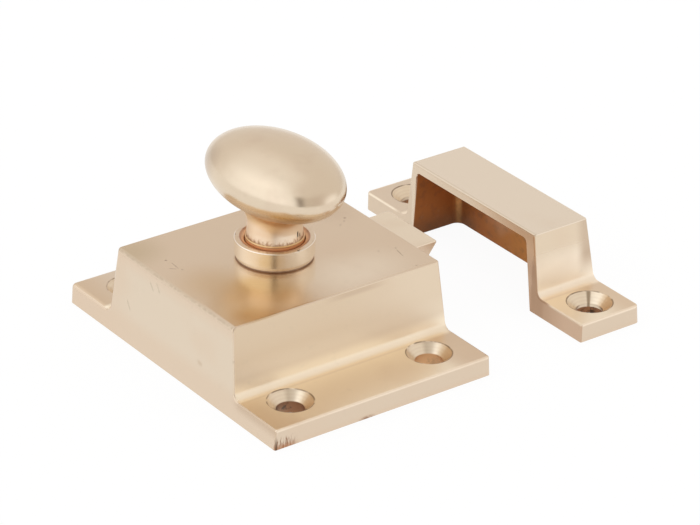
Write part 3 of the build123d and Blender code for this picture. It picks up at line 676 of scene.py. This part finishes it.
def strike_material():
    low, high = node_box("strike")
    finish = satin_brass("strike_brass", STRIKE_SIDE, 5.0)
    finish.gloss = STRIKE_GLOSS
    x, y, z = finish.x, finish.y, finish.z

    # Sides, with painted light brighter towards their feet and painted shade darker towards the
    # back, and the top
    side = abs(y).step(*BOX_SIDE)
    finish.layer(side * z.step(12.0, 8.0), STRIKE_SIDE_LIT, 0.50)
    back = x.step(high.x - 4.5, high.x - 2.0) * z.step(4.0, 9.0)
    finish.layer(side * back, STRIKE_SIDE_SHADE)
    finish.layer(z.step(high.z - 0.35, high.z - 0.1), STRIKE_TOP)

    # Flanges and their rims: the near flange is paler, as the photo's light is
    both, near = flanges(finish, STRIKE_FLANGE)
    finish.layer(both, FLANGE_FAR)
    finish.layer(near, FLANGE_LIT, 0.36)
    finish.layer(near * x.step(low.x + 4.0, high.x - 1.5), FLANGE_PLAIN)
    finish.layer(outer_rims(finish, high), RIM)
    finish.layer(z.step(1.2, 0.2) * 0.4, PINK_CLOUD)
    edge_highlights(finish, high, STRIKE_FLANGE)

    # Front: browner towards the near leg and its foot, with painted shade along the roof's edge and
    # painted highlights along the foot edges
    front = x.step(low.x + 0.25, low.x + 0.1) * z.step(high.z - 0.02, high.z - 0.25)
    finish.layer(front, STRIKE_FRONT)
    finish.layer(front * y.step(4.0, -16.0), STRIKE_FRONT_NEAR)
    finish.layer(line(x - low.x - 0.15, z - high.z + 0.15, 0.6, 0.2) * 0.5, EDGE_SHADE)
    finish.layer(front * y.step(0.0, -2.0) * z.step(12.0, 8.0), STRIKE_LEG)
    finish.layer(front * y.step(-19.0, -28.0) * z.step(4.2, 3.4), STRIKE_FOOT)
    foot_edge = line(x - low.x, z - STRIKE_FLANGE, 0.45, 0.15)
    finish.layer(foot_edge * abs(y).step(21.0, 23.0) * 0.8, FLANGE_LIT, 0.40)

    for centre in screw_spots("strike_screws"):
        screw_hole(finish, centre, STRIKE_FLANGE, STRIKE_SINK, STRIKE_LIP, STRIKE_STREAK, DARK_BORE)

    # Cast skin inside the mouth, darkened in part as painted shade in the recess: dark at the far
    # leg, more orange along the back, and a painted golden reflection in the inner corner
    lean = z * MOUTH_LEAN
    inside = x.step(low.x + 0.15, low.x + 0.4)
    inside = inside * (x + lean).step(MOUTH_BACK + 0.5, MOUTH_BACK + 0.2)
    inside = inside * (abs(y - z * MOUTH_SKEW) + lean).step(MOUTH_HALF + 0.5, MOUTH_HALF + 0.2)
    inside = inside * z.step(MOUTH_TOP + 0.4, MOUTH_TOP + 0.15)
    finish.layer(inside, CAST_SKIN_AND_SHADE, 0.60)
    finish.layer(inside * y.step(12.0, -4.0), CAST_ORANGE)
    at_back = (x + lean).step(MOUTH_BACK - 1.1, MOUTH_BACK - 0.5)
    at_far_leg = (y + lean).step(MOUTH_HALF - 1.1, MOUTH_HALF - 0.5)
    finish.layer(inside * at_back.both(at_far_leg) * 0.7, CORNER_REFLECTION_GOLD)
    finish.layer(inside * z.step(5.0, 0.5) * y.step(10.0, 15.0) * 0.6, DARK_STAIN)
    skin = finish.grain.noise(0.5, 4.0, 0.6)
    finish.layer(inside * skin.step(0.50, 0.70) * 0.30, DARK_STAIN)
    finish.layer(inside * skin.step(0.45, 0.25) * 0.30, COPPER_STAIN)
    finish.dull(inside, 0.30)
    return worn(finish)


def machined_brass():
    """Plain brass as it comes off the machine, a little yellower."""
    finish = Finish("machined_brass", PLAIN_BRASS, 0.32)
    grain = finish.place.noise(1.2, 3.0, 0.6, (0.1, 3.0, 3.0))
    finish.layer(grain.step(0.4, 0.8) * 0.4, PLAIN_BRASS_PALE)
    finish.roughness = finish.roughness + (grain - 0.5) * 0.2
    finish.height = grain * 0.004
    return finish.done()


def plated_steel():
    """Zinc-plated steel: bluish grey with a faint cloudy bloom."""
    finish = Finish("plated_steel", STEEL, 0.30)
    bloom = finish.place.noise(0.5, 3.0)
    finish.layer(bloom.step(0.45, 0.75) * 0.6, STEEL_BLOOM)
    finish.roughness = finish.roughness + (bloom - 0.5) * 0.2
    finish.height = finish.place.noise(5.0, 2.0) * 0.002
    return finish.done()


def spring_wire():
    """Drawn wire with an oily brown-grey skin."""
    finish = Finish("spring_wire", WIRE, 0.35)
    skin = finish.place.noise(1.5, 3.0)
    finish.layer(skin.step(0.45, 0.70) * 0.7, WIRE_OIL)
    finish.roughness = finish.roughness + (skin - 0.5) * 0.25
    finish.height = skin * 0.003
    return finish.done()


def dress():
    """Gives every node its material."""
    own = {
        "case": case_material(),
        "collar": collar_material(),
        "knob": knob_material(),
        "bolt": bolt_material(),
        "strike": strike_material(),
    }
    by_slot = {
        "plain_brass": machined_brass(),
        "bright_steel": plated_steel(),
        "spring_steel": spring_wire(),
    }
    for row in frame["record"]["subparts"]:
        material = own.get(row["node"]) or by_slot[row["material_slot"]]
        for slot in frame["nodes"][row["node"]].material_slots:
            slot.material = material


def living_spring():
    """The coil spring as a piece of its own, on the latch's base in place of the imported one."""
    node = frame["nodes"]["bolt_spring"]
    spring = bpy.data.objects.new("coil_spring", node.data.copy())
    bpy.context.scene.collection.objects.link(spring)
    bpy.ops.object.select_all(action="DESELECT")
    spring.select_set(True)
    bpy.context.view_layer.objects.active = spring
    bpy.ops.object.mode_set(mode="EDIT")
    bpy.ops.mesh.select_all(action="SELECT")
    bpy.ops.mesh.remove_doubles(threshold=MERGE_DISTANCE)
    bpy.ops.object.mode_set(mode="OBJECT")
    bpy.ops.object.shade_smooth()
    low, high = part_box("bolt_spring")
    joints = frame["record"]["behaviour"]["joints"]
    slide = next(row for row in joints if row["name"] == "bolt_slide")
    stroke = slide["range_m"][1] - slide["range_m"][0]
    length = high.x - low.x
    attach(spring, "latch_base")
    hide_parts("bolt_spring")
    (length - stroke) / length
    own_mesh(spring)


def direction(azimuth, elevation):
    """A unit vector; azimuth 0 looks from -Y and 90 from +X, as the camera's does."""
    azimuth, elevation = math.radians(azimuth), math.radians(elevation)
    level = math.cos(elevation)
    return Vector((math.sin(azimuth) * level, -math.cos(azimuth) * level, math.sin(elevation)))


def camera_axes():
    """The camera's right, up and back directions."""
    back = direction(CAMERA_AZIMUTH, CAMERA_ELEVATION)
    azimuth = math.radians(CAMERA_AZIMUTH)
    right = Vector((math.cos(azimuth), math.sin(azimuth), 0.0))
    roll = Matrix.Rotation(math.radians(CAMERA_ROLL), 3, back)
    return roll @ right, roll @ back.cross(right), back


def make_camera():
    """The camera, placed and turned as it stood for the photo."""
    right, up, back = camera_axes()
    data = bpy.data.cameras.new("camera")
    data.lens = CAMERA_LENS
    data.clip_start, data.clip_end = CAMERA_CLIP
    camera = bpy.data.objects.new("camera", data)
    bpy.context.scene.collection.objects.link(camera)
    place = Matrix((right, up, back)).transposed().to_4x4()
    place.translation = back * CAMERA_DISTANCE + right * CAMERA_RIGHT + up * CAMERA_UP
    camera.matrix_world = place
    bpy.context.scene.camera = camera


def seen_directly(blank):
    """1 for what the camera sees, straight, in a reflection or through glass."""
    path = blank.tree.nodes.new("ShaderNodeLightPath")
    rays = ("Is Camera Ray", "Is Glossy Ray", "Is Transmission Ray")
    first, *others = [Shade(blank.tree, path.outputs[ray]) for ray in rays]
    for other in others:
        first = first.either(other)
    return first


def make_floor():
    """A pale floor that shows white, keeps a soft shadow, and is clear from below."""
    bpy.ops.object.select_all(action="DESELECT")
    bpy.ops.mesh.primitive_circle_add(
        vertices=FLOOR_CORNERS, radius=FLOOR_RADIUS, fill_type="NGON"
    )
    floor = bpy.context.object
    floor.name = "floor"
    material = bpy.data.materials.new("floor_white")
    material.use_nodes = True
    tree = material.node_tree
    tree.nodes.clear()
    blank = Shade(tree)
    matt = blank.node("ShaderNodeBsdfDiffuse", {}, {"Color": FLOOR_MATT})
    white = blank.node("ShaderNodeEmission", {}, {"Color": WHITE, "Strength": FLOOR_LEVEL})
    clear = blank.node("ShaderNodeBsdfTransparent", {}, {})
    own_light = seen_directly(blank) * FLOOR_OWN_LIGHT
    lit = blank.node("ShaderNodeMixShader", {}, {0: own_light, 1: matt, 2: white})
    behind = blank.node("ShaderNodeNewGeometry", {}, {}, "Backfacing")
    surface = blank.node("ShaderNodeMixShader", {}, {0: behind, 1: lit, 2: clear})
    output = tree.nodes.new("ShaderNodeOutputMaterial")
    tree.links.new(surface.socket, output.inputs["Surface"])
    floor.data.materials.append(material)


def soft_box(look, azimuth, elevation, inner, outer):
    """A round soft patch of the room, full within the inner angle and gone past the outer."""
    facing = look.vector("DOT_PRODUCT", direction(azimuth, elevation), "Value")
    return facing.step(math.cos(math.radians(outer)), math.cos(math.radians(inner)))


def make_world():
    """A white room: soft boxes to the left and right, and a dim side where the camera stands."""
    world = bpy.data.worlds.new("studio")
    bpy.context.scene.world = world
    world.use_nodes = True
    tree = world.node_tree
    tree.nodes.clear()
    blank = Shade(tree)
    look = blank.node("ShaderNodeTexCoord", {}, {}, "Generated")
    level = ROOM_LEVEL
    for *place, light in ROOM_BOXES:
        level = soft_box(look, *place) * light + level

    # The dim side, sharp at its left, with the darker upright of the camera in it
    right = camera_axes()[0]
    across = look.vector("DOT_PRODUCT", right, "Value")
    ahead = look.vector("DOT_PRODUCT", direction(CAMERA_AZIMUTH, 0.0), "Value").step(0.05, 0.20)
    ahead = ahead * look.parts()[2].step(0.82, 0.62)
    dim = across.step(-0.12, 0.02).both(across.step(0.95, 0.55))
    upright = abs(across).step(0.14, 0.07)
    level = level * (1.0 - dim * ahead * SIDE_DIM) * (1.0 - upright * ahead * UPRIGHT_DIM)

    # Cool where it is bright and warm where it is dim, and plain white behind the object
    hue = level.step(WARM_LEVEL, COOL_LEVEL).mixed(ROOM_WARM, ROOM_COOL)
    path = tree.nodes.new("ShaderNodeLightPath")
    camera_ray = Shade(tree, path.outputs["Is Camera Ray"])
    hue = camera_ray.mixed(hue, WHITE)
    strength = level + camera_ray * (1.0 - level)
    light = blank.node("ShaderNodeBackground", {}, {"Color": hue, "Strength": strength})
    output = tree.nodes.new("ShaderNodeOutputWorld")
    tree.links.new(light.socket, output.inputs["Surface"])


make_camera()
make_floor()
make_world()
dress()
living_spring()

bpy.context.scene.view_settings.view_transform = "Standard"
